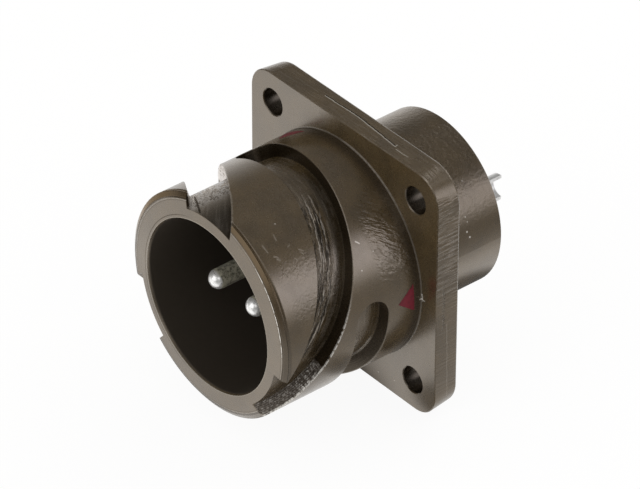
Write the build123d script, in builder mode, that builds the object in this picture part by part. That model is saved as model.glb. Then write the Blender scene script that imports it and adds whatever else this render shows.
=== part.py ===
from build123d import *
import math
import os

# Bayonet circular connector, panel receptacle with two pin contacts.
# The origin is the centre of the flange's rear face. Y is the axis: the mating
# nose points towards -Y, the rear barrel with the solder cups towards +Y.
# Angles round the axis run from +X towards +Z.

os.makedirs("parts", exist_ok=True)

# Flange (millimetres)
hole_spacing = 24.61
hole_radius = 1.64
hole_to_edge = 3.8
flange_thickness = 3.2
front_corner_radius = 3.3
rear_corner_radius = 4.0
front_edge_break = 0.1
rear_edge_round = 0.2
hole_edge_break = 0.12

# Nose, the cylinder that carries the bayonet grooves
hole_to_nose = 3.802
nose_length = 19.5
nose_wall = 3.15
rim_fall = 0.3
rim_chamfer = 0.5
rim_chamfer_length = 0.35
mouth_chamfer = 0.15
mouth_chamfer_length = 0.35
junction_fillet = 0.15

# Bayonet grooves
groove_count = 3
groove_width = 4.6
groove_depth = 1.77
groove_end_angle = 120.0
seat_distance = 7.0
groove_run_out = 2.6
groove_sweep = 167.5
groove_power = 2.2
groove_lip_break = 0.1
mouth_relief_depth = 0.9
mouth_relief_start = 133.0
mouth_relief_end = 153.0

# Rear barrel and the bore that holds the insert
barrel_inset = 2.92
barrel_length = 11.1
barrel_wall = 0.98
barrel_end_chamfer = 0.1
lip_height = 0.8
lip_front = 1.0
lip_thickness = 2.0
ring_groove_depth = 0.45
ring_groove_width = 1.1

# Insert, washer and ring
insert_clearance = 0.1
insert_face_recess = 1.4
insert_body_length = 8.6
insert_edge_break = 0.3
washer_thickness = 0.8
washer_width = 2.4
ring_thickness = 1.0
ring_width = 1.35
ring_gap_angle = 24.0
ring_ear_radius = 1.1
ring_ear_hole_radius = 0.45

# Contacts
contact_spacing = 6.6
pin_radius = 1.195
pin_tip_recess = 3.2
stem_radius = 1.45
shaft_radius = 1.7
collar_radius = 2.1
collar_length = 2.4
cup_length = 17.4
cup_bore_radius = 1.25
cup_bore_depth = 6.6
cup_point_depth = 0.6
cup_scoop_length = 3.0
cup_scoop_offset = 0.1
cup_scoop_round = 1.2
contact_clearance = 0.05

# Sizes that follow
flange_size = hole_spacing + 2 * hole_to_edge
nose_radius = hole_spacing / math.sqrt(2) - hole_to_nose
rim_distance = flange_thickness + nose_length
bore_radius = nose_radius - nose_wall
mouth_radius = bore_radius + mouth_chamfer
groove_floor_radius = nose_radius - groove_depth
barrel_radius = nose_radius - barrel_inset
rear_bore_radius = barrel_radius - barrel_wall
lip_radius = rear_bore_radius - lip_height
lip_front_distance = flange_thickness + lip_front
lip_rear_distance = lip_front_distance - lip_thickness
insert_rear = insert_body_length - lip_rear_distance
washer_rear = insert_rear + washer_thickness
ring_rear = washer_rear + ring_thickness
ring_groove_front = ring_rear - ring_groove_width
ring_groove_radius = rear_bore_radius + ring_groove_depth
flange_sections = [
    (0, rear_edge_round, rear_corner_radius),
    (0.29 * rear_edge_round, 0.29 * rear_edge_round, rear_corner_radius),
    (rear_edge_round, 0, rear_corner_radius),
    (flange_thickness - front_edge_break, 0, front_corner_radius),
    (flange_thickness, front_edge_break, front_corner_radius),
]
groove_rise = nose_length - seat_distance + groove_run_out
seat_y = -flange_thickness - seat_distance


def groove_plane(back_angle):
    """Plane across the groove at an angle back from its closed end."""
    share = back_angle / groove_sweep
    y = seat_y - groove_rise * share**groove_power
    slope = groove_rise * groove_power * share ** (groove_power - 1) / math.radians(groove_sweep)
    angle = math.radians(groove_end_angle - back_angle)
    radial = Vector(math.cos(angle), 0, math.sin(angle))
    round_axis = Vector(-math.sin(angle), 0, math.cos(angle))
    origin = radial * nose_radius + Vector(0, y, 0)
    return Plane(origin=origin, x_dir=radial, z_dir=round_axis * nose_radius + Vector(0, slope, 0))


# Cutter for one bayonet groove: a flat-floored slot that enters at the rim and
# closes in a round pocket, with its pitch falling towards the pocket.
groove_inside = 2 * groove_depth
groove_outside = 1.2
half_width = groove_width / 2
outer_half_width = half_width + groove_lip_break + groove_outside
back_angles = [0, 10, 22, 34, 46, 58, 70, 82, 94, 106, 118, 130, 142, 154, 166, 178]

with BuildPart() as groove_cutter:
    for back_angle in back_angles:
        with BuildSketch(groove_plane(back_angle)):
            with BuildLine():
                Polyline(
                    (-groove_inside, -half_width),
                    (-groove_lip_break, -half_width),
                    (groove_outside, -outer_half_width),
                    (groove_outside, outer_half_width),
                    (-groove_lip_break, half_width),
                    (-groove_inside, half_width),
                    close=True,
                )
            make_face()
    loft()
    pocket_angle = math.radians(groove_end_angle)
    pocket_radial = Vector(math.cos(pocket_angle), 0, math.sin(pocket_angle))
    pocket_axis = Axis(pocket_radial * nose_radius + Vector(0, seat_y, 0), pocket_radial)
    with BuildSketch(groove_plane(0)):
        with BuildLine():
            Polyline(
                (-groove_inside, 0),
                (-groove_inside, half_width),
                (-groove_lip_break, half_width),
                (groove_outside, outer_half_width),
                (groove_outside, 0),
                close=True,
            )
        make_face()
    revolve(axis=pocket_axis, revolution_arc=180)
    # Short relief that widens the entry at the rim
    with BuildSketch(Plane.XZ.offset(rim_distance - mouth_relief_depth)):
        with BuildLine():
            start = groove_end_angle - mouth_relief_end
            sweep = mouth_relief_end - mouth_relief_start
            outer = CenterArc((0, 0), nose_radius + groove_outside, start, sweep)
            Line((0, 0), outer @ 0)
            Line((0, 0), outer @ 1)
        make_face()
    extrude(amount=mouth_relief_depth + 1)
    # Cylindrical floor
    with BuildSketch(Plane.XZ):
        Circle(groove_floor_radius)
    extrude(amount=2 * rim_distance, mode=Mode.SUBTRACT)

groove_cutters = [
    groove_cutter.part.rotate(Axis.Y, 360 / groove_count * index) for index in range(groove_count)
]

with BuildPart() as shell:
    # Square flange, its corners rounder at the rear than in front
    for distance, inset, corner_radius in flange_sections:
        with BuildSketch(Plane.XZ.offset(distance)):
            side = flange_size - 2 * inset
            RectangleRounded(side, side, corner_radius - inset)
    loft(ruled=True)
    # Mounting holes
    with BuildSketch(Plane.XZ):
        with GridLocations(hole_spacing, hole_spacing, 2, 2):
            Circle(hole_radius)
    extrude(amount=flange_thickness, mode=Mode.SUBTRACT)
    hole_edges = [
        edge
        for edge in shell.edges().filter_by(GeomType.CIRCLE)
        if abs(edge.radius - hole_radius) < 1e-4
    ]
    chamfer(hole_edges, hole_edge_break)
    # Turned outside of the nose, whose rim falls back a little outwards, and of the
    # rear barrel
    with BuildSketch(Plane.XY):
        with BuildLine():
            Polyline(
                (0, -rim_distance),
                (mouth_radius, -rim_distance),
                (nose_radius - rim_chamfer, -rim_distance + rim_fall),
                (nose_radius, -rim_distance + rim_fall + rim_chamfer_length),
                (nose_radius, -flange_thickness / 2),
                (barrel_radius, -flange_thickness / 2),
                (barrel_radius, barrel_length - barrel_end_chamfer),
                (barrel_radius - barrel_end_chamfer, barrel_length),
                (0, barrel_length),
                close=True,
            )
        make_face()
    revolve(axis=Axis.Y)
    junction_edges = [
        edge
        for edge in shell.edges().filter_by(GeomType.CIRCLE)
        if abs(edge.radius - nose_radius) < 1e-4
        and abs(edge.center().Y + flange_thickness) < 1e-4
    ]
    fillet(junction_edges, junction_fillet)
    # Stepped bore with the lip that stops the insert and the groove for the ring
    with BuildSketch(Plane.XY):
        with BuildLine():
            Polyline(
                (0, -rim_distance - 1),
                (mouth_radius + mouth_chamfer / mouth_chamfer_length, -rim_distance - 1),
                (bore_radius, -rim_distance + mouth_chamfer_length),
                (bore_radius, -lip_front_distance),
                (lip_radius, -lip_front_distance),
                (lip_radius, -lip_rear_distance),
                (rear_bore_radius, -lip_rear_distance),
                (rear_bore_radius, ring_groove_front),
                (ring_groove_radius, ring_groove_front),
                (ring_groove_radius, ring_rear),
                (rear_bore_radius, ring_rear),
                (rear_bore_radius, barrel_length - 0.2),
                (rear_bore_radius + 1.2, barrel_length + 1),
                (0, barrel_length + 1),
                close=True,
            )
        make_face()
    revolve(axis=Axis.Y, mode=Mode.SUBTRACT)
    # Bayonet grooves
    for cutter in groove_cutters:
        add(cutter, mode=Mode.SUBTRACT)

# One contact, turned from bar: round-nosed pin, stem and collar held in the
# insert, shank and solder cup. Its axis lies on Y.
pin_tip = -rim_distance + pin_tip_recess
insert_front = -lip_front_distance - insert_face_recess
collar_front = -lip_rear_distance + 0.8
collar_rear = collar_front + collar_length
cup_floor = cup_length - cup_bore_depth

with BuildPart() as contact:
    with BuildSketch(Plane.XY):
        with BuildLine():
            tip = RadiusArc(
                (0, pin_tip), (pin_radius, pin_tip + pin_radius), -pin_radius
            )
            Polyline(
                tip @ 1,
                (pin_radius, insert_front),
                (stem_radius, insert_front),
                (stem_radius, collar_front),
                (collar_radius, collar_front),
                (collar_radius, collar_rear),
                (shaft_radius, collar_rear),
                (shaft_radius, cup_length - 0.1),
                (shaft_radius - 0.1, cup_length),
                (cup_bore_radius, cup_length),
                (cup_bore_radius, cup_floor),
                (0, cup_floor - cup_point_depth),
                tip @ 0,
            )
        make_face()
    revolve(axis=Axis.Y)
    # The cup's end is cut away on one side, ending in a round run-out
    with BuildSketch(Plane.XY.offset(-shaft_radius - 1)):
        with BuildLine():
            scoop_start = cup_length - cup_scoop_length
            run_out = RadiusArc(
                (shaft_radius + 0.5, scoop_start),
                (cup_scoop_offset, scoop_start + cup_scoop_round),
                2.4,
            )
            Polyline(
                run_out @ 1,
                (cup_scoop_offset, cup_length + 1),
                (shaft_radius + 0.5, cup_length + 1),
                run_out @ 0,
            )
        make_face()
    extrude(amount=2 * shaft_radius + 2, mode=Mode.SUBTRACT)

# The left contact is the same piece turned half round, so both cups open outwards
with BuildPart() as contact_left:
    with Locations((-contact_spacing / 2, 0, 0)):
        add(contact.part, rotation=(0, 180, 0))

with BuildPart() as contact_right:
    with Locations((contact_spacing / 2, 0, 0)):
        add(contact.part)

# Moulded insert: a neck through the lip, a body in the rear bore, and a
# stepped hole round each contact.
neck_radius = lip_radius - insert_clearance
insert_body_radius = rear_bore_radius - insert_clearance

with BuildPart() as insert:
    with BuildSketch(Plane.XY):
        with BuildLine():
            Polyline(
                (0, insert_front),
                (neck_radius - insert_edge_break, insert_front),
                (neck_radius, insert_front + insert_edge_break),
                (neck_radius, -lip_rear_distance),
                (insert_body_radius, -lip_rear_distance),
                (insert_body_radius, insert_rear - insert_edge_break),
                (insert_body_radius - insert_edge_break, insert_rear),
                (0, insert_rear),
                close=True,
            )
        make_face()
    revolve(axis=Axis.Y)
    for side in (-1, 1):
        with BuildSketch(Plane.XZ.offset(-insert_rear)):
            with Locations((side * contact_spacing / 2, 0)):
                Circle(shaft_radius + contact_clearance)
        extrude(amount=insert_rear - collar_rear, mode=Mode.SUBTRACT)
        with BuildSketch(Plane.XZ.offset(-collar_rear)):
            with Locations((side * contact_spacing / 2, 0)):
                Circle(collar_radius + contact_clearance)
        extrude(amount=collar_length, mode=Mode.SUBTRACT)
        with BuildSketch(Plane.XZ.offset(-collar_front)):
            with Locations((side * contact_spacing / 2, 0)):
                Circle(stem_radius + contact_clearance)
        extrude(amount=collar_front - insert_front, mode=Mode.SUBTRACT)

# Flat washer on the insert's rear face
with BuildPart() as retaining_washer:
    with BuildSketch(Plane.XZ.offset(-washer_rear)):
        Circle(insert_body_radius)
        Circle(insert_body_radius - washer_width, mode=Mode.SUBTRACT)
    extrude(amount=washer_thickness)

# Spring ring with two pierced ears, sprung into the groove of the rear bore
ring_outer_radius = ring_groove_radius - 0.1
ring_inner_radius = ring_outer_radius - ring_width
ear_centre_radius = ring_inner_radius - ring_ear_radius / 3
ear_offset = ring_gap_angle / 2 + math.degrees(ring_ear_radius / ear_centre_radius)

with BuildPart() as retaining_ring:
    with BuildSketch(Plane.XZ.offset(-ring_rear)):
        Circle(ring_outer_radius)
        Circle(ring_inner_radius, mode=Mode.SUBTRACT)
        for side in (-1, 1):
            ear_angle = math.radians(-90 + side * ear_offset)
            ear_x = ear_centre_radius * math.cos(ear_angle)
            ear_z = ear_centre_radius * math.sin(ear_angle)
            with Locations((ear_x, ear_z)):
                Circle(ring_ear_radius)
        with BuildLine():
            gap = CenterArc((0, 0), ring_outer_radius + 1, -90 - ring_gap_angle / 2, ring_gap_angle)
            Line((0, 0), gap @ 0)
            Line((0, 0), gap @ 1)
        make_face(mode=Mode.SUBTRACT)
        for side in (-1, 1):
            ear_angle = math.radians(-90 + side * ear_offset)
            ear_x = ear_centre_radius * math.cos(ear_angle)
            ear_z = ear_centre_radius * math.sin(ear_angle)
            with Locations((ear_x, ear_z)):
                Circle(ring_ear_hole_radius, mode=Mode.SUBTRACT)
    extrude(amount=ring_thickness)

shell.part.label = "shell"
insert.part.label = "insert"
contact_left.part.label = "contact_left"
contact_right.part.label = "contact_right"
retaining_washer.part.label = "retaining_washer"
retaining_ring.part.label = "retaining_ring"

export_step(shell.part, "parts/shell.step")
export_step(insert.part, "parts/insert.step")
export_step(contact_left.part, "parts/contact_left.step")
export_step(contact_right.part, "parts/contact_right.step")
export_step(retaining_washer.part, "parts/retaining_washer.step")
export_step(retaining_ring.part, "parts/retaining_ring.step")
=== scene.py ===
import math
from types import SimpleNamespace

import bpy
from mathutils import Matrix, Vector


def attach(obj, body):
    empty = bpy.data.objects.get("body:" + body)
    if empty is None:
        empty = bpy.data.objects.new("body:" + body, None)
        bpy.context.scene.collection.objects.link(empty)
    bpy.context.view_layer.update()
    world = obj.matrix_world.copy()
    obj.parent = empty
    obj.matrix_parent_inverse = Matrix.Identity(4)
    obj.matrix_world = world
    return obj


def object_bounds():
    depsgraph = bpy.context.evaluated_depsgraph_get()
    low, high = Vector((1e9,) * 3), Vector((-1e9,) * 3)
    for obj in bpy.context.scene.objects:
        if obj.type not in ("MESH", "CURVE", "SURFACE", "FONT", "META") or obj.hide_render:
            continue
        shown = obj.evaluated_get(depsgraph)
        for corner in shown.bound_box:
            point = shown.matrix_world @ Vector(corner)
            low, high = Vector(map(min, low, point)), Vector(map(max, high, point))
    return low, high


bl_info = {
    "name": "Bayonet connector finish",
    "version": (1, 0, 0),
    "blender": (4, 5, 0),
    "location": "View3D > Sidebar > Connector",
    "description": "Finishes, lights and camera of a panel receptacle with bayonet grooves",
    "category": "Material",
}

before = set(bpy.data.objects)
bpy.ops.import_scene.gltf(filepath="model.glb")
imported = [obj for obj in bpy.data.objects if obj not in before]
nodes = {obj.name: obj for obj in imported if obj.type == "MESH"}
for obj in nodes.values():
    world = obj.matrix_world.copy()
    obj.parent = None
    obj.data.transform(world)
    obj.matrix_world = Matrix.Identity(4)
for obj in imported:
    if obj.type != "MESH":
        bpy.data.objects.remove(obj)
cad_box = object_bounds()


class ShellFinish(bpy.types.PropertyGroup):
    drab: bpy.props.FloatVectorProperty(
        name="Olive drab", description="Colour of the plated shell",
        subtype="COLOR", size=3, min=0, max=1, default=(0.06, 0.04, 0.0165),
    )
    bore: bpy.props.FloatVectorProperty(
        name="Socket wall", description="Colour deep in the socket",
        subtype="COLOR", size=3, min=0, max=1, default=(0.038, 0.029, 0.019),
    )
    roughness: bpy.props.FloatProperty(
        name="Roughness", description="Roughness of the plating",
        min=0, max=1, default=0.27,
    )
    streaks: bpy.props.FloatProperty(
        name="Milling streaks", description="Depth of the streaks on the groove floors",
        min=0, max=1, default=0.5,
    )


class MarkSetup(bpy.types.PropertyGroup):
    paint: bpy.props.FloatVectorProperty(
        name="Paint", description="Colour of the alignment marks",
        subtype="COLOR", size=3, min=0, max=1, default=(0.19, 0.012, 0.026),
    )
    tip: bpy.props.FloatVectorProperty(
        name="Tip", description="Place along the axis in metres, and angle in degrees",
        size=2, default=(-0.00654, 1.8),
    )
    top: bpy.props.FloatVectorProperty(
        name="Upper corner", description="Place along the axis in metres, and angle in degrees",
        size=2, default=(-0.00433, 9.2),
    )
    bottom: bpy.props.FloatVectorProperty(
        name="Lower corner", description="Place along the axis in metres, and angle in degrees",
        size=2, default=(-0.00421, -5.8),
    )


class ContactFinish(bpy.types.PropertyGroup):
    silver: bpy.props.FloatVectorProperty(
        name="Silver", description="Colour of the plated contacts",
        subtype="COLOR", size=3, min=0, max=1, default=(0.96, 0.955, 0.94),
    )
    tarnish: bpy.props.FloatVectorProperty(
        name="Tarnish", description="Colour of the spots on the shanks",
        subtype="COLOR", size=3, min=0, max=1, default=(0.19, 0.18, 0.14),
    )


class StageSetup(bpy.types.PropertyGroup):
    azimuth: bpy.props.FloatProperty(
        name="Azimuth", description="Camera's angle round the connector",
        subtype="ANGLE", default=math.radians(50.252),
    )
    elevation: bpy.props.FloatProperty(
        name="Elevation", description="Camera's angle above the horizon",
        subtype="ANGLE", default=math.radians(35.915),
    )
    roll: bpy.props.FloatProperty(
        name="Roll", description="Camera's turn about its own axis",
        subtype="ANGLE", default=math.radians(0.178),
    )
    distance: bpy.props.FloatProperty(
        name="Distance", description="From the camera to the connector",
        subtype="DISTANCE", unit="LENGTH", default=0.6014,
    )
    lens: bpy.props.FloatProperty(
        name="Lens", description="Focal length on a 36 mm sensor",
        default=302.4,
    )


# The shell's sizes, in millimetres and degrees
NOSE_RADIUS = 13.6
FLOOR_RADIUS = 11.83
SOCKET_RADIUS = 10.45
BARREL_RADIUS = 10.68
FLANGE_FRONT = -3.2
FLANGE_HALF = 16.1
# The rim's face and chamfer: slope by radius, and place along the axis at radius 0
RIM_FACE = (0.12, -23.9)
RIM_CHAMFER = (0.7, -31.5)
# The flange holes' places along x and z, and their radius
HOLE_PLACE = 12.305
HOLE_RADIUS = 1.64
# Each bayonet groove: the angle to the next one, the sweep back from its closed end,
# and its centre line, which leaves the closed end's place on the axis by the rise
# times a power of the share of the sweep
GROOVE_STEP = 120.0
GROOVE_SWEEP = 167.5
GROOVE_POWER = 2.2
GROOVE_RISE = 15.1
GROOVE_END = -10.2
# Rise in one millimetre round the nose, at the rim
GROOVE_SLOPE = 0.836
# The stretch of a groove where its rear lip is chipped, in degrees back from its end
GROOVE_CHIPPED = (137.0, 149.0)
# Millimetres in one degree round the nose, and round the groove's floor
NOSE_DEGREE = 0.2374
FLOOR_DEGREE = 0.2065

# Colours of the shell's wear
BLACK_LINE = (0.012, 0.009, 0.006)
FURROW = (0.01, 0.007, 0.004)
CREST = (0.38, 0.345, 0.3)
PALE_FLOOR = (0.3, 0.29, 0.28)
DASH = (0.015, 0.013, 0.012)
TORN_WALL = (0.03, 0.024, 0.02)
TORN_RIDGE = (0.17, 0.15, 0.135)
GLINT = (0.55, 0.53, 0.5)
BROWN_EDGE = (0.075, 0.047, 0.018)
RUBBED_ROOT = (0.3, 0.26, 0.19)
RUBBED_MOUTH = (0.3, 0.27, 0.22)
PARTING = (0.36, 0.34, 0.3)
DENTED = (0.3, 0.27, 0.23)
SPECK = (0.62, 0.6, 0.56)
BARE = (0.72, 0.70, 0.66)
PITTED = (0.85, 0.85, 0.86)

# Short dents on the nose, each from one point to another: millimetres along the
# axis and degrees round it
DENTS = (
    ((-18.70, 59.9), (-18.81, 56.9)), ((-17.95, 51.9), (-17.64, 52.4)),
    ((-16.91, 48.6), (-16.50, 47.2)), ((-16.84, 46.9), (-16.68, 45.7)),
    ((-20.13, 50.7), (-19.64, 49.1)), ((-19.96, 48.9), (-19.58, 47.8)),
    ((-18.77, 43.2), (-18.84, 41.2)), ((-20.05, 42.5), (-19.72, 40.0)),
    ((-20.64, 57.5), (-20.56, 53.5)), ((-17.89, 45.9), (-17.70, 44.6)),
)
DENT_WIDTH = 0.13
# The crack on the floor of the upper entry, in the same two measures, with the
# width of each stretch in millimetres
CRACK = (
    ((-19.7, 119.0), (-20.77, 109.6), 0.2),
    ((-20.77, 109.6), (-21.64, 102.4), 0.24),
    ((-21.64, 102.4), (-22.29, 96.9), 0.2),
)
# The parting line on the flange's top edge, painted as a highlight, and a painted shadow
# behind it: places along x and y, and a width
TOP_LINE = (
    ((-5.3, -1.41), (0.3, -1.24), 0.12),
    ((0.3, -1.24), (7.15, -1.78), 0.13),
    ((7.15, -1.78), (7.1, -1.4), 0.13),
    ((7.6, -2.05), (9.6, -2.0), 0.09),
)
TOP_SHADOW = (
    ((-5.3, -1.29), (0.3, -1.12), 0.11),
    ((0.3, -1.11), (7.0, -1.63), 0.12),
)
# The parting line on the right edge, painted as a highlight, along z and y
RIGHT_LINE = ((-3.0, -1.62), (-13.6, -1.39), 0.08)
# A nick in front of the flange, by radius and arc, and a fleck on the collar, by
# place along the axis and arc
NICK = (
    ((13.55, -0.25), (14.15, -0.3), 0.12),
    ((13.68, 0.4), (13.85, -0.45), 0.1),
)
FLECK = ((-10.05, 9.63), (-9.7, 9.27), 0.15)


def on_round(radius, y, turn):
    """Point on a cylinder about the axis, its turn from +X in degrees."""
    a = math.radians(turn)
    return Vector((radius * math.cos(a), y, radius * math.sin(a)))


# Pale dots: place and radius in millimetres
DOTS = (
    (on_round(NOSE_RADIUS, -12.0, 37.0), 0.09),
    (on_round(NOSE_RADIUS, -10.6, 27.0), 0.08),
    (on_round(NOSE_RADIUS, -10.25, 47.0), 0.08),
    (on_round(NOSE_RADIUS, -17.73, 64.3), 0.07),
    (on_round(NOSE_RADIUS, -8.4, 33.0), 0.06),
    (on_round(BARREL_RADIUS, 6.2, 14.6), 0.12),
    (on_round(BARREL_RADIUS, 6.5, 10.5), 0.13),
    (on_round(BARREL_RADIUS, 6.4, 24.0), 0.08),
    (on_round(BARREL_RADIUS, 6.5, 20.6), 0.07),
    (on_round(BARREL_RADIUS, 7.7, 44.5), 0.07),
    (on_round(SOCKET_RADIUS, -19.5, 120.0), 0.08),
    (on_round(SOCKET_RADIUS, -17.0, 135.0), 0.07),
    (Vector((6.4, FLANGE_FRONT, -14.6)), 0.09),
    (Vector((9.2, FLANGE_FRONT, -14.2)), 0.07),
    (Vector((13.75, FLANGE_FRONT, -0.2)), 0.12),
)


class Tree:
    """A node tree with short calls for the steps that repeat."""

    def __init__(self, owner):
        owner.use_nodes = True
        self.tree = owner.node_tree
        self.tree.nodes.clear()

    def new(self, kind):
        return self.tree.nodes.new(kind)

    def join(self, a, b):
        self.tree.links.new(a, b)

    def put(self, socket, value):
        if isinstance(value, bpy.types.NodeSocket):
            self.join(value, socket)
        else:
            socket.default_value = value

    def math(self, operation, a, b=None, c=None, clamp=False):
        node = self.new("ShaderNodeMath")
        node.operation, node.use_clamp = operation, clamp
        for socket, value in zip(node.inputs, (a, b, c)):
            if value is not None:
                self.put(socket, value)
        return node.outputs[0]

    def times(self, total, *others):
        for value in others:
            total = self.math("MULTIPLY", total, value)
        return total

    def most(self, total, *others):
        for value in others:
            total = self.math("MAXIMUM", total, value)
        return total

    def plus(self, a, b):
        return self.math("ADD", a, b)

    def minus(self, a, b):
        return self.math("SUBTRACT", a, b)

    def scaled(self, a, scale, extra):
        """a times scale, plus extra."""
        return self.math("MULTIPLY_ADD", a, scale, extra)

    def summed(self, total, parts):
        """A total plus each value times its weight."""
        for value, weight in parts:
            total = self.scaled(value, weight, total)
        return total

    def size(self, a):
        return self.math("ABSOLUTE", a)

    def above(self, a, limit):
        return self.math("GREATER_THAN", a, limit)

    def below(self, a, limit):
        return self.math("LESS_THAN", a, limit)

    def length(self, a, b):
        return self.math("SQRT", self.scaled(a, a, self.times(b, b)))

    def blend(self, share, a, b):
        """a where share is 0, b where it is 1."""
        return self.scaled(self.minus(b, a), share, a)

    def ramp(self, value, low, high, start=0.0, end=1.0):
        """Smooth step from start at low to end at high."""
        node = self.new("ShaderNodeMapRange")
        node.interpolation_type = "SMOOTHSTEP"
        sockets = ("From Min", "From Max", "To Min", "To Max")
        for name, number in zip(sockets, (low, high, start, end)):
            node.inputs[name].default_value = number
        self.put(node.inputs["Value"], value)
        return node.outputs["Result"]

    def band(self, value, low, high, soft):
        """1 between low and high, 0 outside, with soft edges."""
        up = self.ramp(value, low - soft, low + soft)
        down = self.ramp(value, high - soft, high + soft, 1.0, 0.0)
        return self.times(up, down)

    def either(self, share, a, b):
        """Shader a where share is 0, b where it is 1."""
        node = self.new("ShaderNodeMixShader")
        for socket, value in zip(node.inputs, (share, a, b)):
            self.put(socket, value)
        return node.outputs[0]


class Finish(Tree):
    """One finish, whose places are millimetres from the connector's origin."""

    def __init__(self, name):
        self.material = bpy.data.materials.new(name)
        super().__init__(self.material)
        self.out = self.new("ShaderNodeOutputMaterial")
        self.shader = self.new("ShaderNodeBsdfPrincipled")
        self.join(self.shader.outputs[0], self.out.inputs["Surface"])
        place = self.new("ShaderNodeTexCoord")
        to_mm = self.new("ShaderNodeVectorMath")
        to_mm.operation = "SCALE"
        to_mm.inputs["Scale"].default_value = 1000
        self.join(place.outputs["Object"], to_mm.inputs[0])
        self.mm = to_mm.outputs[0]
        split = self.new("ShaderNodeSeparateXYZ")
        self.join(self.mm, split.inputs[0])
        self.x, self.y, self.z = split.outputs

    def vector(self, x, y, z):
        node = self.new("ShaderNodeCombineXYZ")
        for socket, value in zip(node.inputs, (x, y, z)):
            self.put(socket, value)
        return node.outputs[0]

    def noise(self, at, scale, detail=3.0, rough=0.5):
        node = self.new("ShaderNodeTexNoise")
        node.inputs["Scale"].default_value = scale
        node.inputs["Detail"].default_value = detail
        node.inputs["Roughness"].default_value = rough
        self.join(at, node.inputs["Vector"])
        return node.outputs["Fac"]

    def vein(self, noise, narrow, wide):
        """1 on the thin lines where a noise passes its middle value, 0 beside them."""
        return self.ramp(self.size(self.minus(noise, 0.5)), narrow, wide, 1.0, 0.0)

    def stroke(self, u, v, start, end, width):
        """1 on a straight stroke of this width between two points of the plane u, v."""
        du, dv = end[0] - start[0], end[1] - start[1]
        size = math.hypot(du, dv)
        du, dv = du / size, dv / size
        u, v = self.minus(u, start[0]), self.minus(v, start[1])
        along = self.scaled(u, du, self.scaled(v, dv, -size / 2))
        across = self.scaled(u, -dv, self.times(v, du))
        beyond = self.most(self.minus(self.size(along), size / 2), 0.0)
        return self.ramp(self.length(across, beyond), width * 0.3, width * 0.7, 1.0, 0.0)

    def strokes(self, u, v, table, scale=1.0):
        """Strokes from a table, whose second measure is scaled first."""
        return self.most(*[
            self.stroke(u, v, (a[0], a[1] * scale), (b[0], b[1] * scale), width)
            for a, b, width in table
        ])

    def distance(self, place):
        node = self.new("ShaderNodeVectorMath")
        node.operation = "DISTANCE"
        self.join(self.mm, node.inputs[0])
        node.inputs[1].default_value = place
        return node.outputs["Value"]

    def mix(self, share, a, b):
        node = self.new("ShaderNodeMix")
        node.data_type = "RGBA"
        self.put(node.inputs[0], share)
        for socket, value in ((node.inputs[6], a), (node.inputs[7], b)):
            if isinstance(value, bpy.types.NodeSocket):
                self.join(value, socket)
            else:
                socket.default_value = (*value[:3], 1.0)
        return node.outputs[2]

    def layers(self, colour, coats):
        """A colour with each coat laid over it by its share."""
        for share, coat in coats:
            colour = self.mix(share, colour, coat)
        return colour

    def bump(self, height, strength, distance):
        node = self.new("ShaderNodeBump")
        node.inputs["Strength"].default_value = strength
        node.inputs["Distance"].default_value = distance
        self.join(height, node.inputs["Height"])
        return node.outputs[0]

    def finish(self, colour, roughness, normal, metallic=0.0, ior=1.5, tint=(1, 1, 1)):
        sockets = self.shader.inputs
        self.put(sockets["Base Color"], colour)
        self.put(sockets["Roughness"], roughness)
        self.put(sockets["Normal"], normal)
        self.put(sockets["Metallic"], metallic)
        sockets["Specular Tint"].default_value = (*tint, 1.0)
        sockets["IOR"].default_value = ior
        return self.material


def clothe(node, material):
    node.data.materials.clear()
    node.data.materials.append(material)


def shade(colour, share):
    return tuple(min(1.0, c * share) for c in colour)


# Past its closed end and past the rim by this much, a groove is out of reach
GROOVE_BEFORE = -14.0
GROOVE_BEYOND = 182.0
OUT_OF_REACH = 100.0


def nearest_groove(f, angle):
    """Distance from the nearest groove's centre line, towards the flange, and the
    angle back from that groove's closed end."""
    base = f.math("FLOORED_MODULO", f.minus(GROOVE_STEP, angle), GROOVE_STEP)
    offset = back = None
    for turn in (0.0, GROOVE_STEP, -GROOVE_STEP):
        this_back = f.plus(base, turn)
        share = f.math("DIVIDE", f.most(this_back, 0.0), GROOVE_SWEEP)
        path = f.scaled(f.math("POWER", share, GROOVE_POWER), -GROOVE_RISE, GROOVE_END)
        slope = f.times(f.math("POWER", share, GROOVE_POWER - 1.0), GROOVE_SLOPE)
        length = f.math("SQRT", f.scaled(slope, slope, 1.0))
        this_offset = f.math("DIVIDE", f.minus(f.y, path), length)
        absent = f.plus(f.below(this_back, GROOVE_BEFORE), f.above(this_back, GROOVE_BEYOND))
        this_offset = f.scaled(absent, OUT_OF_REACH, this_offset)
        if offset is None:
            offset, back = this_offset, this_back
            continue
        nearer = f.below(f.size(this_offset), f.size(offset))
        offset = f.blend(nearer, offset, this_offset)
        back = f.blend(nearer, back, this_back)
    return offset, back


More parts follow.
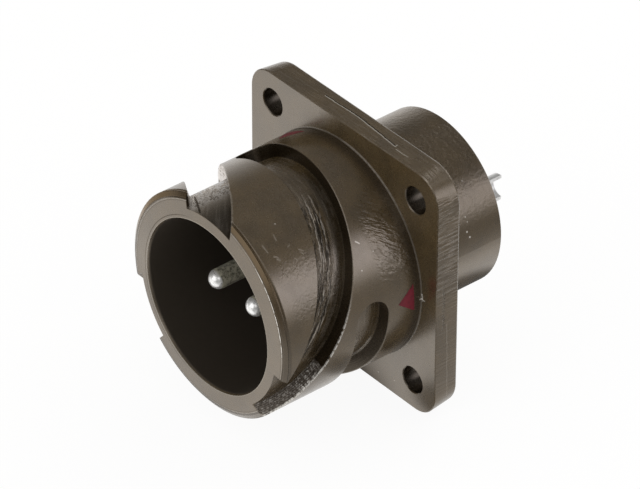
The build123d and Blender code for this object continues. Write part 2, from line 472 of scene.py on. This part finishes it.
def shell_places(f):
    """Where a point is on the shell, and the noise that several masks share."""
    m = SimpleNamespace()
    m.radius = f.length(f.x, f.z)
    m.angle = f.math("DEGREES", f.math("ARCTAN2", f.z, f.x))
    m.arc = f.times(m.angle, NOSE_DEGREE)
    m.offset, m.back = nearest_groove(f, m.angle)
    # The rim: its face falls back outwards and ends in a chamfer
    face = f.scaled(m.radius, *RIM_FACE)
    chamfer = f.scaled(m.radius, *RIM_CHAMFER)
    m.on_rim = f.below(f.y, f.most(face, chamfer))
    behind_rim = f.minus(1.0, m.on_rim)
    m.outside = f.times(f.above(m.radius, SOCKET_RADIUS + 0.15), behind_rim)
    nose = f.times(f.below(f.y, FLANGE_FRONT - 0.1), behind_rim)
    m.floor = f.times(f.band(m.radius, FLOOR_RADIUS - 0.23, FLOOR_RADIUS + 0.12, 0.04), nose)
    m.wall = f.times(f.band(m.radius, FLOOR_RADIUS + 0.12, NOSE_RADIUS - 0.08, 0.03), nose)
    m.rear_wall = f.times(m.wall, f.above(m.offset, 0.5))
    # The upper left of the nose, where one of the grooves enters, and the rest
    m.upper = f.above(m.angle, 60.0)
    m.lower = f.minus(1.0, m.upper)

    m.mottle = f.noise(f.mm, 0.35, 4.0, 0.55)
    m.cloud = f.noise(f.mm, 1.1, 3.0, 0.6)
    m.grain = f.noise(f.mm, 5.0, 4.0, 0.65)
    m.ripple = f.noise(f.mm, 2.2, 2.0, 0.6)
    m.uneven = f.noise(f.mm, 1.6, 2.0, 0.6)
    return m


def groove_floors(f, m):
    """Milling streaks: long lines, deepest where the cutter ran slowest, and a torn start at the
    front lip, with painted shade in their furrows and painted highlights on their crests.
    Short dashes where the upper groove enters."""
    along = f.times(m.back, 0.22)
    lane = f.vector(f.scaled(m.cloud, 0.3, m.offset), f.times(along, 0.07), 0.0)
    broad = f.noise(lane, 1.3, 3.0, 0.65)
    thin = f.noise(lane, 3.1, 3.0, 0.65)
    deep = f.times(f.band(m.back, 50.0, 128.0, 11.0), f.band(m.offset, -2.3, 0.7, 0.4))
    torn = f.times(f.band(m.back, 42.0, 62.0, 5.0), f.band(m.offset, -2.5, -1.5, 0.2))
    deep = f.times(f.summed(0.1, ((torn, 0.8), (deep, 0.9))), m.floor)
    m.streak = f.times(f.scaled(f.size(f.minus(thin, 0.5)), -1.2, broad), deep)
    m.furrow = f.times(f.most(f.vein(broad, 0.015, 0.05), f.ramp(thin, 0.43, 0.38)), deep)
    m.crest = f.times(f.ramp(thin, 0.54, 0.575), deep)

    short = f.noise(f.vector(m.offset, f.times(along, 0.4), 5.0), 2.3, 2.0, 0.7)
    m.pale = f.times(m.floor, f.above(m.back, 100.0),
                     f.band(f.scaled(m.cloud, 8.0, m.angle), 106.0, 124.0, 2.0))
    m.dashes = f.times(f.vein(short, 0.02, 0.07), m.pale,
                       f.ramp(f.scaled(m.offset, 0.06, m.uneven), 0.42, 0.52))
    m.crack = f.times(m.floor, f.strokes(
        f.scaled(f.noise(f.mm, 2.2, 2.0), 0.3, f.minus(f.y, 0.15)),
        f.times(m.angle, FLOOR_DEGREE), CRACK, FLOOR_DEGREE))
    # The floor's far half, and the end of the upper entry, lie in shade
    m.near_mouth = f.times(m.floor, f.above(m.back, 135.0),
                           f.ramp(m.angle, 84.0, 108.0, 1.0, 0.0))
    far_floor = f.times(m.floor, f.ramp(m.offset, 0.5, 1.5), f.band(m.back, 34.0, 134.0, 8.0))
    m.shaded_floor = f.most(f.times(far_floor, 0.85), f.times(m.near_mouth, m.upper))


def groove_walls(f, m):
    """Chatter on the rear wall where each groove enters, in fine rows and ticks, with painted
    highlights on its ridges and painted glints, and turned lines round all the walls."""
    start = f.summed(m.back, ((m.cloud, 2.0), (m.upper, 58.0)))
    m.entry = f.times(m.rear_wall, f.ramp(start, 136.0, 136.6))
    rows = f.math("SINE", f.scaled(m.ripple, 7.0, f.times(m.radius, 27.0)))
    ticks = f.noise(f.vector(f.times(m.radius, 0.55), f.times(m.back, 0.2), 3.0), 6.5, 2.0, 0.7)
    torn = f.summed(-1.45, ((ticks, 2.6), (rows, 0.16), (m.uneven, 0.9)))
    m.chatter = f.times(torn, m.entry)
    m.glints = f.times(f.ramp(m.chatter, 0.45, 0.7),
                       f.scaled(f.band(m.back, *GROOVE_CHIPPED, 2.0), 0.5, 0.4))
    m.pitted = f.times(m.entry, m.upper, f.band(m.angle, 112.0, 158.0, 2.0))
    turned = f.noise(f.vector(m.radius, f.times(m.back, 0.01), 0.0), 6.0, 2.0, 0.6)
    m.ring_lines = f.times(turned, m.wall)
    # The line where wall and floor meet, painted as a highlight, and bare near the entries
    root = f.times(f.band(m.radius, FLOOR_RADIUS + 0.02, FLOOR_RADIUS + 0.15, 0.02), m.rear_wall)
    pocket = f.times(root, f.band(m.back, -20.0, 40.0, 3.0), f.below(m.angle, 20.0))
    m.rubbed_root = f.most(pocket, f.times(root, f.band(m.back, 25.0, 126.0, 10.0)))
    m.bare_root = f.times(root, f.band(m.back, 136.5, 146.0, 1.0))


def flange_edges(f, m):
    """Strokes across the flange's edges, a chain of pits, and the parting line, painted as a
    highlight with a painted shadow behind it on the top edge.
    """
    wide, tall = f.size(f.x), f.size(f.z)
    side = f.times(f.ramp(f.most(wide, tall), FLANGE_HALF - 0.4, FLANGE_HALF - 0.15),
                   f.band(f.y, FLANGE_FRONT + 0.05, -0.1, 0.05))
    across = f.noise(f.vector(f.x, f.times(f.y, 0.07), f.z), 2.8, 2.0, 0.7)
    across = f.times(across, f.ramp(f.z, -2.0, 6.0, 0.2, 1.0))
    lengthwise = f.noise(f.vector(f.times(f.x, 0.14), f.y, f.times(f.z, 0.14)), 3.2, 3.0, 0.65)
    strokes = f.blend(f.above(wide, tall), f.times(lengthwise, 0.3), across)
    m.edge_marks = f.times(strokes, side)
    wobble = f.scaled(f.noise(f.mm, 0.9, 3.0), 0.25, f.minus(f.y, 0.125))
    m.pits = f.times(f.band(wobble, -2.3, -1.95, 0.06), f.band(f.z, -3.6, 2.4, 0.3), side,
                     f.ramp(m.grain, 0.5, 0.58))
    top = f.times(side, f.above(f.z, FLANGE_HALF - 0.1))
    right = f.times(side, f.above(f.x, FLANGE_HALF - 0.1))
    m.parting = f.most(f.times(f.strokes(f.x, wobble, TOP_LINE), top),
                       f.times(f.stroke(f.z, wobble, *RIGHT_LINE), right, 0.4))
    m.shadow = f.times(f.strokes(f.x, wobble, TOP_SHADOW), top)


def rim_wear(f, m):
    """The rim's outer edge is worn to a broad rounding, on the face and on the side, with
    painted shade on it that grows browner and darker towards the top, and thin lines inside
    it. More lines lie round the socket's mouth: a dark scribed line, and painted highlights."""
    m.face_round = f.times(f.ramp(m.radius, 12.8, 13.1), m.on_rim)
    m.side_round = f.times(f.ramp(f.y, -21.65, -22.0), f.ramp(m.radius, 13.5, 13.58))
    m.rounding = f.math("MAXIMUM", m.face_round, m.side_round, clamp=True)
    m.brown = f.times(m.rounding, f.ramp(f.z, 0.0, 9.0))
    m.edge_line = f.times(f.band(m.radius, 12.6, 12.68, 0.02), m.on_rim, 0.4)
    m.rim_edge = f.times(f.band(m.radius, 12.72, 12.82, 0.02), m.on_rim,
                         f.scaled(f.band(m.angle, 2.0, 48.0, 6.0), 0.8, 0.2))
    m.scribed = f.times(f.band(m.radius, 10.9, 10.99, 0.02), m.on_rim,
                        f.ramp(f.x, -2.0, -6.0), 0.75)
    m.mouth = f.times(f.band(m.radius, 10.48, 10.66, 0.02), m.on_rim)
    m.mouth_edge = f.times(f.band(m.radius, 10.57, 10.68, 0.02), m.on_rim,
                           f.band(m.angle, 50.0, 115.0, 8.0))


def small_wear(f, m):
    """Dents on the nose, pale dots, a nick and a fleck."""
    dents = [(a, b, DENT_WIDTH) for a, b in DENTS]
    m.dent = f.times(f.strokes(f.y, m.arc, dents, NOSE_DEGREE), m.outside)
    dots = [f.below(f.distance(place), size) for place, size in DOTS]
    nick = f.times(f.strokes(m.radius, m.arc, NICK), f.band(f.y, -3.5, -3.0, 0.05))
    m.speck = f.most(nick, f.times(f.stroke(f.y, m.arc, *FLECK), m.outside), *dots)


def bare_metal(f, m):
    """Bare metal: the groove's lips and chips near the entries, the rim's worn line,
    the roots, and a patch on the floor near one closed end."""
    near_lip = f.scaled(f.band(m.back, *GROOVE_CHIPPED, 1.0), 0.12, m.offset)
    lip = f.times(f.band(m.radius, 13.42, 13.7, 0.03), f.band(near_lip, 2.27, 2.46, 0.02),
                  f.ramp(m.back, 5.0, 7.0), f.ramp(m.back, 100.0, 122.0, 0.04, 1.0),
                  f.scaled(m.upper, -0.9, 1.0))
    ragged = f.ramp(f.scaled(m.ripple, 0.5, 1.95), 2.18, 2.22)
    chips = f.times(f.above(m.radius, 13.2), f.below(m.radius, 13.53), m.rear_wall,
                    f.band(m.back, 139.0, 149.0, 1.0), ragged, m.lower)
    patch = f.times(f.band(m.back, 24.0, 43.0, 3.0), m.floor,
                    f.band(m.offset, 1.95, 2.3, 0.1), f.below(m.angle, 0.0), 0.6)
    edges = f.math("ADD", f.most(lip, chips), f.most(m.rim_edge, m.bare_root), clamp=True)
    gaps = f.ramp(f.noise(f.mm, 3.0, 3.0, 0.7), 0.40, 0.50)
    edges = f.math("MULTIPLY", f.most(edges, patch), gaps, clamp=True)
    pocks = f.ramp(f.noise(f.mm, 2.4, 2.0), 0.56, 0.64, 1.0, 0.1)
    m.bare = f.most(edges, f.times(m.pitted, pocks))


def shell_finish(look):
    f = Finish("olive_drab_plating")
    m = shell_places(f)
    for part in (groove_floors, groove_walls, flange_edges, rim_wear, small_wear, bare_metal):
        part(f, m)
    socket = f.times(f.ramp(m.radius, SOCKET_RADIUS + 0.1, SOCKET_RADIUS),
                     f.band(f.y, -22.9, -4.1, 0.1))
    from_hole = f.length(f.minus(f.size(f.x), HOLE_PLACE), f.minus(f.size(f.z), HOLE_PLACE))
    hole = f.ramp(from_hole, HOLE_RADIUS + 0.08, HOLE_RADIUS + 0.02)
    # Dark lines: the scribed and edge lines, the crack, the pits, and the painted shadow behind
    # the parting line
    dark_line = f.most(m.scribed, m.edge_line, m.shadow, m.crack, f.times(m.pits, 0.5))

    tone = f.scaled(m.mottle, 0.85, f.times(m.grain, 0.15))
    plated = f.mix(f.ramp(tone, 0.3, 0.7), shade(look.drab, 0.8), shade(look.drab, 1.22))
    # shaded is a darker copy of the plating, laid on as painted shade
    shaded = shade(look.drab, 0.3)
    corner = f.times(f.band(f.y, -4.5, -3.1, 0.8), f.band(m.radius, 13.3, 13.75, 0.05))
    colour = f.layers(plated, (
        # Painted shade in the corner where the collar meets the flange
        (corner, shaded),
        # Painted shade on the rim's rounding, browner and darker towards the top
        (f.times(m.rounding, 0.5), shaded),
        (m.brown, BROWN_EDGE),
        # Painted shade on the groove walls, the floor's far half and the end of the upper entry
        (f.most(m.shaded_floor, f.times(m.wall, 0.8)), shaded),
        # Painted shade in the streaks' furrows, and painted highlights on their crests
        (f.times(m.furrow, 0.9), FURROW),
        (f.times(m.crest, 0.95), CREST),
        (f.times(m.pale, 0.3), PALE_FLOOR),
        (f.times(m.dashes, 0.9), DASH),
        (f.times(m.entry, 0.6), TORN_WALL),
        # Painted highlights on the chatter's ridges, then painted glints
        (f.ramp(m.chatter, 0.15, 0.5, 0.0, 0.6), TORN_RIDGE),
        (m.glints, GLINT),
        (dark_line, BLACK_LINE),
        # Painted highlight along the line where wall and floor meet
        (f.times(m.rubbed_root, 0.5), RUBBED_ROOT),
        # Painted highlights round the socket's mouth
        (f.times(m.mouth, 0.6), RUBBED_MOUTH),
        (f.times(m.mouth_edge, 0.5), RUBBED_MOUTH),
        # Painted highlight along the parting line
        (f.times(m.parting, 0.85), PARTING),
        (f.times(m.dent, 0.3), DENTED),
        (f.times(m.speck, 0.9), SPECK),
        (socket, look.bore),
        # Painted shade inside the flange holes
        (f.times(hole, 0.8), BLACK_LINE),
        (m.bare, f.mix(m.pitted, BARE, PITTED)),
    ))

    fillet = f.times(f.band(m.radius, NOSE_RADIUS, NOSE_RADIUS + 0.16, 0.02),
                     f.band(f.y, FLANGE_FRONT - 0.17, FLANGE_FRONT - 0.01, 0.01))
    rough = f.summed(look.roughness - 0.07, (
        (m.cloud, 0.14), (socket, 0.4), (fillet, 0.22), (m.entry, 0.2),
        (f.most(m.dent, m.crack), 0.2),
    ))

    # Relief, in millimetres: dents where the barrel was cast, slanted ripples across
    # the collar, and small hollows on the nose
    cast = f.times(f.ramp(f.y, 0.5, 2.0), f.ramp(f.z, 1.0, 6.0))
    collar = f.times(f.band(f.y, -8.5, -3.5, 0.5), f.band(m.angle, 15.0, 60.0, 8.0))
    slanted = f.vector(f.scaled(f.y, 0.8, m.arc), f.scaled(m.arc, -0.3, f.times(f.y, 0.3)), 1.0)
    pocked = f.times(f.band(f.y, -20.5, -13.0, 1.0), f.band(m.angle, 2.0, 52.0, 8.0))
    height = f.summed(f.times(m.grain, f.scaled(m.on_rim, 0.004, 0.002)), (
        (f.times(f.noise(f.mm, 3.2, 2.0, 0.5), pocked), 0.035),
        (f.times(m.ripple, cast), 0.045),
        (f.times(f.noise(slanted, 1.9, 2.0, 0.6), collar), 0.12),
        (m.streak, look.streaks * 0.45),
        (m.dashes, -0.02),
        (m.face_round, -0.2),
        (m.side_round, -0.22),
        (m.chatter, 0.07),
        (m.ring_lines, 0.012),
        (m.edge_marks, 0.2),
        (f.most(m.shadow, m.crack, m.pits), -0.03),
        (m.dent, -0.03),
    ))

    # Dark wear and painted shade are partly metallic, because the plating's own gloss would
    # whiten them. The barrel's upper side is a little metallic too, which dims its highlight
    # as painted shade.
    metal = f.most(
        f.times(m.bare, f.scaled(m.pitted, 0.5, 0.5)),
        f.times(socket, 0.5),
        f.times(m.wall, f.blend(m.entry, 0.65, 0.4)),
        f.times(dark_line, 0.9),
        f.times(m.furrow, 0.6),
        f.times(m.dashes, 0.8),
        f.times(hole, 0.55),
        f.times(f.ramp(f.y, 0.2, 0.5), f.ramp(f.z, -1.0, 3.0, 0.0, 0.16)),
        f.times(m.near_mouth, 0.3),
        f.times(m.brown, f.ramp(m.angle, 112.0, 130.0, 0.72, 0.92)),
    )
    normal = f.bump(height, 1.0, 0.001)
    return f.finish(colour, rough, normal, metal, ior=2.25, tint=(1.0, 0.89, 0.77))


def rubber_finish():
    f = Finish("black_rubber")
    colour = f.mix(f.noise(f.mm, 1.2, 4.0), (0.008, 0.008, 0.008), (0.02, 0.02, 0.019))
    rough = f.scaled(f.noise(f.mm, 4.0, 3.0), 0.2, 0.55)
    return f.finish(colour, rough, f.bump(f.noise(f.mm, 12.0, 3.0), 0.3, 0.00002))


# Places along the axis of a contact, in millimetres: its tarnished shank, and where
# the solder cup comes out of the barrel
SHANK = (-18.55, -5.0)
CUP = (9.5, 10.5)


def contact_finish(look):
    """Tarnished along the shank, bright at the round tip and at the solder cup."""
    f = Finish("silver_plating")
    spots = f.noise(f.mm, 2.6, 5.0, 0.7)
    smudge = f.noise(f.mm, 0.9, 3.0, 0.5)
    shank = f.band(f.scaled(spots, 0.3, f.y), *SHANK, 0.12)
    cup = f.ramp(f.y, *CUP)
    dim, pale = shade(look.tarnish, 0.55), shade(look.tarnish, 2.8)
    colour = f.layers(look.silver, (
        (shank, f.mix(f.ramp(spots, 0.36, 0.62), dim, pale)),
        (cup, shade(look.silver, 0.8)),
        (f.times(f.ramp(smudge, 0.5, 0.7), 0.3), (0.4, 0.39, 0.36)),
        (f.ramp(spots, 0.56, 0.72, 0.0, 0.5), (0.2, 0.19, 0.17)),
    ))
    metal = f.summed(0.7, ((shank, -0.55), (cup, 0.05)))
    rough = f.summed(0.15, ((spots, 0.3), (f.most(shank, cup), 0.1)))
    return f.finish(colour, rough, f.bump(spots, 1.0, 0.000008), metal)


def steel_finish():
    """Bright steel, in thin layers across the axis."""
    f = Finish("spring_steel")
    around = f.noise(f.vector(f.times(f.x, 0.2), f.y, f.times(f.z, 0.2)), 6.0, 4.0)
    colour = f.mix(around, (0.35, 0.35, 0.36), (0.5, 0.5, 0.5))
    rough = f.scaled(around, 0.2, 0.25)
    return f.finish(colour, rough, f.bump(around, 0.2, 0.00002), 1.0)


def washer_finish(look):
    f = Finish("washer_plating")
    tone = f.noise(f.mm, 0.8, 4.0, 0.6)
    colour = f.mix(tone, shade(look.drab, 0.7), shade(look.drab, 1.3))
    rough = f.scaled(tone, 0.2, 0.3)
    return f.finish(colour, rough, f.bump(tone, 0.2, 0.00002), ior=2.2)


def mark_finish(look):
    f = Finish("red_paint")
    wear = f.noise(f.mm, 2.4, 4.0, 0.6)
    colour = f.mix(f.ramp(wear, 0.35, 0.75), look.paint, shade(look.paint, 0.62))
    rough = f.scaled(wear, 0.2, 0.36)
    return f.finish(colour, rough, f.bump(wear, 1.0, 0.000006), ior=1.45)


class CONNECTOR_OT_shell(bpy.types.Operator):
    """Give the shell its plating and its machining traces"""
    bl_idname = "connector.shell"
    bl_label = "Finish the shell"

    def execute(self, context):
        clothe(nodes["shell"], shell_finish(context.scene.connector_shell))
        return {"FINISHED"}


# The marks' faces lie just outside and just inside the nose's surface, and are cut
# from a ring of this place, length and number of sides. All in metres.
MARK_OUTER = 0.01362
MARK_INNER = 0.013565
MARK_RING_PLACE = -0.0053
MARK_RING_LENGTH = 0.004
MARK_RING_SIDES = 480
CUT_TOLERANCE = 1e-7
FLAT_ANGLE = math.radians(0.05)
SMOOTH_ANGLE = math.radians(30)


def cut_triangle(corners):
    """Cut the ring in edit mode down to the triangle between three corners on it."""
    middle = sum(corners, Vector()) / 3
    outward = Vector((middle.x, 0, middle.z)).normalized()
    bpy.ops.mesh.select_all(action="SELECT")
    bpy.ops.mesh.bisect(plane_co=(0, 0, 0), plane_no=outward, clear_inner=True,
                        threshold=CUT_TOLERANCE)
    for start, end in zip(corners, corners[1:] + corners[:1]):
        side = (end - start).cross(outward).normalized()
        if side.dot(middle - start) > 0:
            side.negate()
        bpy.ops.mesh.select_all(action="SELECT")
        bpy.ops.mesh.bisect(plane_co=start, plane_no=side, clear_outer=True,
                            threshold=CUT_TOLERANCE)
    bpy.ops.mesh.select_all(action="SELECT")
    bpy.ops.mesh.delete_loose()
    bpy.ops.mesh.select_all(action="SELECT")
    bpy.ops.mesh.dissolve_limited(angle_limit=FLAT_ANGLE)


class CONNECTOR_OT_marks(bpy.types.Operator):
    """Paint the three red alignment triangles on the nose, beside the groove ends"""
    bl_idname = "connector.marks"
    bl_label = "Paint the marks"

    def execute(self, context):
        look = context.scene.connector_marks
        bpy.ops.object.select_all(action="DESELECT")
        bpy.ops.mesh.primitive_cylinder_add(
            vertices=MARK_RING_SIDES, radius=MARK_OUTER, depth=MARK_RING_LENGTH,
            end_fill_type="NOTHING", location=(0, MARK_RING_PLACE, 0),
            rotation=(math.radians(90), 0, 0),
        )
        mark = context.active_object
        mark.name = "index_mark_1"
        bpy.ops.object.transform_apply(location=True, rotation=True, scale=True)
        bpy.ops.object.mode_set(mode="EDIT")
        corners = (look.tip, look.top, look.bottom)
        cut_triangle([on_round(MARK_OUTER, *corner) for corner in corners])
        # The back of the mark: the same face, moved inwards
        bpy.ops.mesh.extrude_region_shrink_fatten(TRANSFORM_OT_shrink_fatten={"value": 0.0})
        bpy.ops.object.mode_set(mode="OBJECT")
        for vertex in mark.data.vertices:
            if vertex.select:
                share = MARK_INNER / math.hypot(vertex.co.x, vertex.co.z)
                vertex.co.x *= share
                vertex.co.z *= share
        bpy.ops.object.mode_set(mode="EDIT")
        bpy.ops.mesh.select_all(action="SELECT")
        bpy.ops.mesh.normals_make_consistent(inside=False)
        bpy.ops.object.mode_set(mode="OBJECT")
        bpy.ops.object.shade_smooth_by_angle(angle=SMOOTH_ANGLE)
        if len(mark.data.polygons) < 5:
            raise RuntimeError("the alignment mark has lost its faces")
        clothe(mark, mark_finish(look))

        marks = [mark]
        for step in (1, 2):
            copied = mark.copy()
            copied.data = mark.data.copy()
            copied.name = f"index_mark_{step + 1}"
            context.scene.collection.objects.link(copied)
            turn = math.radians(GROOVE_STEP * step)
            copied.data.transform(Matrix.Rotation(turn, 4, "Y"))
            marks.append(copied)
        for piece in marks:
            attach(piece, "root")
        return {"FINISHED"}


class CONNECTOR_OT_contacts(bpy.types.Operator):
    """Give both contacts their silver plating"""
    bl_idname = "connector.contacts"
    bl_label = "Finish the contacts"

    def execute(self, context):
        silver = contact_finish(context.scene.connector_contacts)
        for name in ("contact_left", "contact_right"):
            clothe(nodes[name], silver)
        return {"FINISHED"}


class CONNECTOR_OT_inside(bpy.types.Operator):
    """Finish the insert, the washer and the snap ring"""
    bl_idname = "connector.inside"
    bl_label = "Finish the insert, washer and ring"

    def execute(self, context):
        clothe(nodes["insert"], rubber_finish())
        clothe(nodes["retaining_washer"], washer_finish(context.scene.connector_shell))
        clothe(nodes["retaining_ring"], steel_finish())
        return {"FINISHED"}


# The lamps: name, direction from the connector, size in metres, radiance and tint
LAMPS = (
    ("rear_right_lamp", (0.85, 0.46, 0.38), (0.34, 0.3), 0.9, (1.0, 0.98, 1.1)),
    ("front_lamp", (-0.1, -0.92, 0.4), (0.5, 0.45), 1.15, (1, 1, 1)),
    ("rear_lamp", (-0.1, 0.9, 0.5), (0.5, 0.3), 1.5, (1, 1, 1)),
)
LAMP_DISTANCE = 0.6
# Lit stretches of the room's walls: bearing in degrees from +X, the cosines of the
# angles from it where the light starts and is full, the heights up to which it is full
# and where it ends, and its strength
WALLS = (
    (150, 0.92, 0.97, 0.05, 0.5, 0.8),
    (32, 0.9, 0.97, 0.42, 0.66, 0.92),
    (-90, 0.85, 0.96, 0.33, 0.5, 0.35),
)
# A stretch that has a lower end too, between these heights
HIGH_WALL = (-38, 0.92, 0.98, 0.7, 0.85, 1.35)
HIGH_WALL_FOOT = (0.28, 0.48)
# Strength of the walls outside these stretches, and the light that the room gives
WALL_BASE = 0.2
ROOM_STRENGTH = 0.68
ROOM_TINT = (1.0, 0.98, 0.95)

# The floor: its size, its gap under the connector, and its strength to the camera
FLOOR_SIZE = 6.0
FLOOR_GAP = 0.0002
FLOOR_GLOW = 1.03
SENSOR_WIDTH = 36.0
CLIP = (0.01, 20)
# Where the camera looks, right and up from the middle of the flange's front
AIM = (-0.002524, -0.000388)


def area_lamp(name, towards, size, radiance, tint):
    """A soft rectangular lamp in a direction from the connector, facing it."""
    data = bpy.data.lights.new(name, "AREA")
    data.shape = "RECTANGLE"
    data.size, data.size_y = size
    data.energy = radiance * math.pi * size[0] * size[1]
    data.color = tint
    lamp = bpy.data.objects.new(name, data)
    bpy.context.scene.collection.objects.link(lamp)
    way = Vector(towards).normalized()
    lamp.location = way * LAMP_DISTANCE
    lamp.rotation_mode = "QUATERNION"
    lamp.rotation_quaternion = way.to_track_quat("Z", "Y")


def floor_finish():
    """White to the camera, with a faint shadow. The plating mirrors it as a painted pool of
    light: bright in front, with painted shadows under the barrel and beside the nose, and
    darker far off behind to the right."""
    f = Finish("pale_floor")

    def oval(centre, radii):
        """Distance from an oval's centre, 1 on its edge."""
        return f.length(*[
            f.math("DIVIDE", f.minus(place, middle), radius)
            for place, middle, radius in zip((f.x, f.y), centre, radii)
        ])

    # Painted shadows in the floor's glow, under the barrel and beside the nose
    under_barrel = f.ramp(oval((0.0, 8.0), (14.0, 12.5)), 0.85, 1.2, 0.1, 1.0)
    beside_nose = f.ramp(oval((14.5, -6.8), (5.5, 2.6)), 0.7, 1.2, 0.2, 1.0)
    across = f.most(f.math("MINIMUM", f.y, 14.0), -12.0)
    away = f.scaled(across, -0.6, f.x)
    level = f.ramp(away, 10.0, 25.0, 1.34, 0.5)
    # Painted shade in the floor's glow: far off to the right, behind the flange, in a strip from
    # just in front of the nose backwards, and far off in front on the left
    for darker in (
        f.ramp(away, 28.0, 56.0, 0.0, -0.16),
        f.ramp(f.y, -5.0, 4.0, 0.0, -0.1),
        f.times(f.ramp(f.y, -33.0, -29.0, 0.0, -0.3), f.band(f.x, -30.0, 2.0, 3.0)),
        f.ramp(f.scaled(f.x, 0.5, f.y), -62.0, -50.0, -0.22, 0.0),
    ):
        level = f.plus(level, darker)
    path = f.new("ShaderNodeLightPath").outputs
    camera, mirrored = path["Is Camera Ray"], path["Is Glossy Ray"]
    glow = f.new("ShaderNodeEmission")
    shine = f.times(level, under_barrel, beside_nose)
    f.put(glow.inputs["Strength"], f.blend(camera, shine, FLOOR_GLOW))
    cloth = f.new("ShaderNodeBsdfDiffuse")
    cloth.inputs["Color"].default_value = (0.85, 0.85, 0.85, 1)
    share = f.times(f.most(camera, mirrored), 0.9)
    f.tree.nodes.remove(f.shader)
    f.join(f.either(share, cloth.outputs[0], glow.outputs[0]), f.out.inputs["Surface"])
    return f.material


def room_light():
    """A pale room, whose reflections are grey with lit stretches of wall: behind on the
    left, behind on the right, in front, and high up in front on the right."""
    world = bpy.data.worlds.new("pale_room")
    t = Tree(world)
    place = t.new("ShaderNodeTexCoord")
    split = t.new("ShaderNodeSeparateXYZ")
    t.join(place.outputs["Generated"], split.inputs[0])
    x, y, height = split.outputs
    level = t.math("SQRT", t.most(t.minus(1.0, t.times(height, height)), 0.01))

    def wall(bearing, start, full, top, end, strength):
        a = math.radians(bearing)
        towards = t.plus(t.times(x, math.cos(a)), t.times(y, math.sin(a)))
        lit = t.ramp(t.math("DIVIDE", towards, level), start, full, 0.0, strength)
        return t.times(lit, t.ramp(height, top, end, 1.0, 0.0))

    def background(strength):
        node = t.new("ShaderNodeBackground")
        t.put(node.inputs["Strength"], strength)
        return node

    walls = t.plus(t.times(wall(*HIGH_WALL), t.ramp(height, *HIGH_WALL_FOOT)), WALL_BASE)
    for stretch in WALLS:
        walls = t.plus(walls, wall(*stretch))
    soft = background(ROOM_STRENGTH)
    soft.inputs["Color"].default_value = (*ROOM_TINT, 1)
    path = t.new("ShaderNodeLightPath").outputs
    room = t.either(path["Is Glossy Ray"], soft.outputs[0], background(walls).outputs[0])
    seen = t.either(path["Is Camera Ray"], room, background(1.0).outputs[0])
    t.join(seen, t.new("ShaderNodeOutputWorld").inputs["Surface"])
    return world


def place_camera(look):
    """A camera that looks at the flange from an azimuth and an elevation, rolled."""
    a, e, r = look.azimuth, look.elevation, look.roll
    back = Vector((math.sin(a) * math.cos(e), -math.cos(a) * math.cos(e), math.sin(e)))
    right = Vector((math.cos(a), math.sin(a), 0))
    up = back.cross(right)
    turned_right = right * math.cos(r) + up * math.sin(r)
    turned_up = up * math.cos(r) - right * math.sin(r)
    centre = turned_right * AIM[0] + turned_up * AIM[1] + back * look.distance
    centre.y += FLANGE_FRONT / 1000
    data = bpy.data.cameras.new("camera")
    data.lens, data.sensor_width = look.lens, SENSOR_WIDTH
    data.clip_start, data.clip_end = CLIP
    camera = bpy.data.objects.new("camera", data)
    bpy.context.scene.collection.objects.link(camera)
    turn = Matrix((turned_right, turned_up, back)).transposed().to_4x4()
    camera.matrix_world = Matrix.Translation(centre) @ turn
    bpy.context.scene.camera = camera


class CONNECTOR_OT_stage(bpy.types.Operator):
    """Set the floor, the soft lamps, the pale surroundings and the camera"""
    bl_idname = "connector.stage"
    bl_label = "Set the stage"

    def execute(self, context):
        bpy.ops.object.select_all(action="DESELECT")
        level = cad_box[0][2] - FLOOR_GAP
        bpy.ops.mesh.primitive_plane_add(size=FLOOR_SIZE, location=(0, 0, level))
        floor = context.active_object
        floor.name = "floor"
        floor.data.materials.append(floor_finish())
        bpy.ops.object.transform_apply(location=True, rotation=True, scale=True)

        context.scene.world = room_light()
        for lamp in LAMPS:
            area_lamp(*lamp)
        place_camera(context.scene.connector_stage)
        context.scene.view_settings.view_transform = "Standard"
        return {"FINISHED"}


# The settings that the scene holds and the panel shows
SETTINGS = {
    "connector_shell": ShellFinish,
    "connector_marks": MarkSetup,
    "connector_contacts": ContactFinish,
    "connector_stage": StageSetup,
}


class CONNECTOR_PT_panel(bpy.types.Panel):
    bl_label = "Connector"
    bl_idname = "CONNECTOR_PT_panel"
    bl_space_type = "VIEW_3D"
    bl_region_type = "UI"
    bl_category = "Connector"

    def draw(self, context):
        layout = self.layout
        for name in SETTINGS:
            settings = getattr(context.scene, name)
            box = layout.box()
            for setting in settings.__annotations__:
                box.prop(settings, setting)
        for name in ("shell", "marks", "contacts", "inside", "stage"):
            layout.operator("connector." + name)


classes = (
    *SETTINGS.values(),
    CONNECTOR_OT_shell,
    CONNECTOR_OT_marks,
    CONNECTOR_OT_contacts,
    CONNECTOR_OT_inside,
    CONNECTOR_OT_stage,
    CONNECTOR_PT_panel,
)


def register():
    for cls in classes:
        bpy.utils.register_class(cls)
    for name, group in SETTINGS.items():
        setattr(bpy.types.Scene, name, bpy.props.PointerProperty(type=group))


def unregister():
    for name in SETTINGS:
        delattr(bpy.types.Scene, name)
    for cls in reversed(classes):
        bpy.utils.unregister_class(cls)


def main():
    register()
    bpy.ops.connector.shell()
    bpy.ops.connector.marks()
    bpy.ops.connector.contacts()
    bpy.ops.connector.inside()
    bpy.ops.connector.stage()


if __name__ == "__main__":
    main()
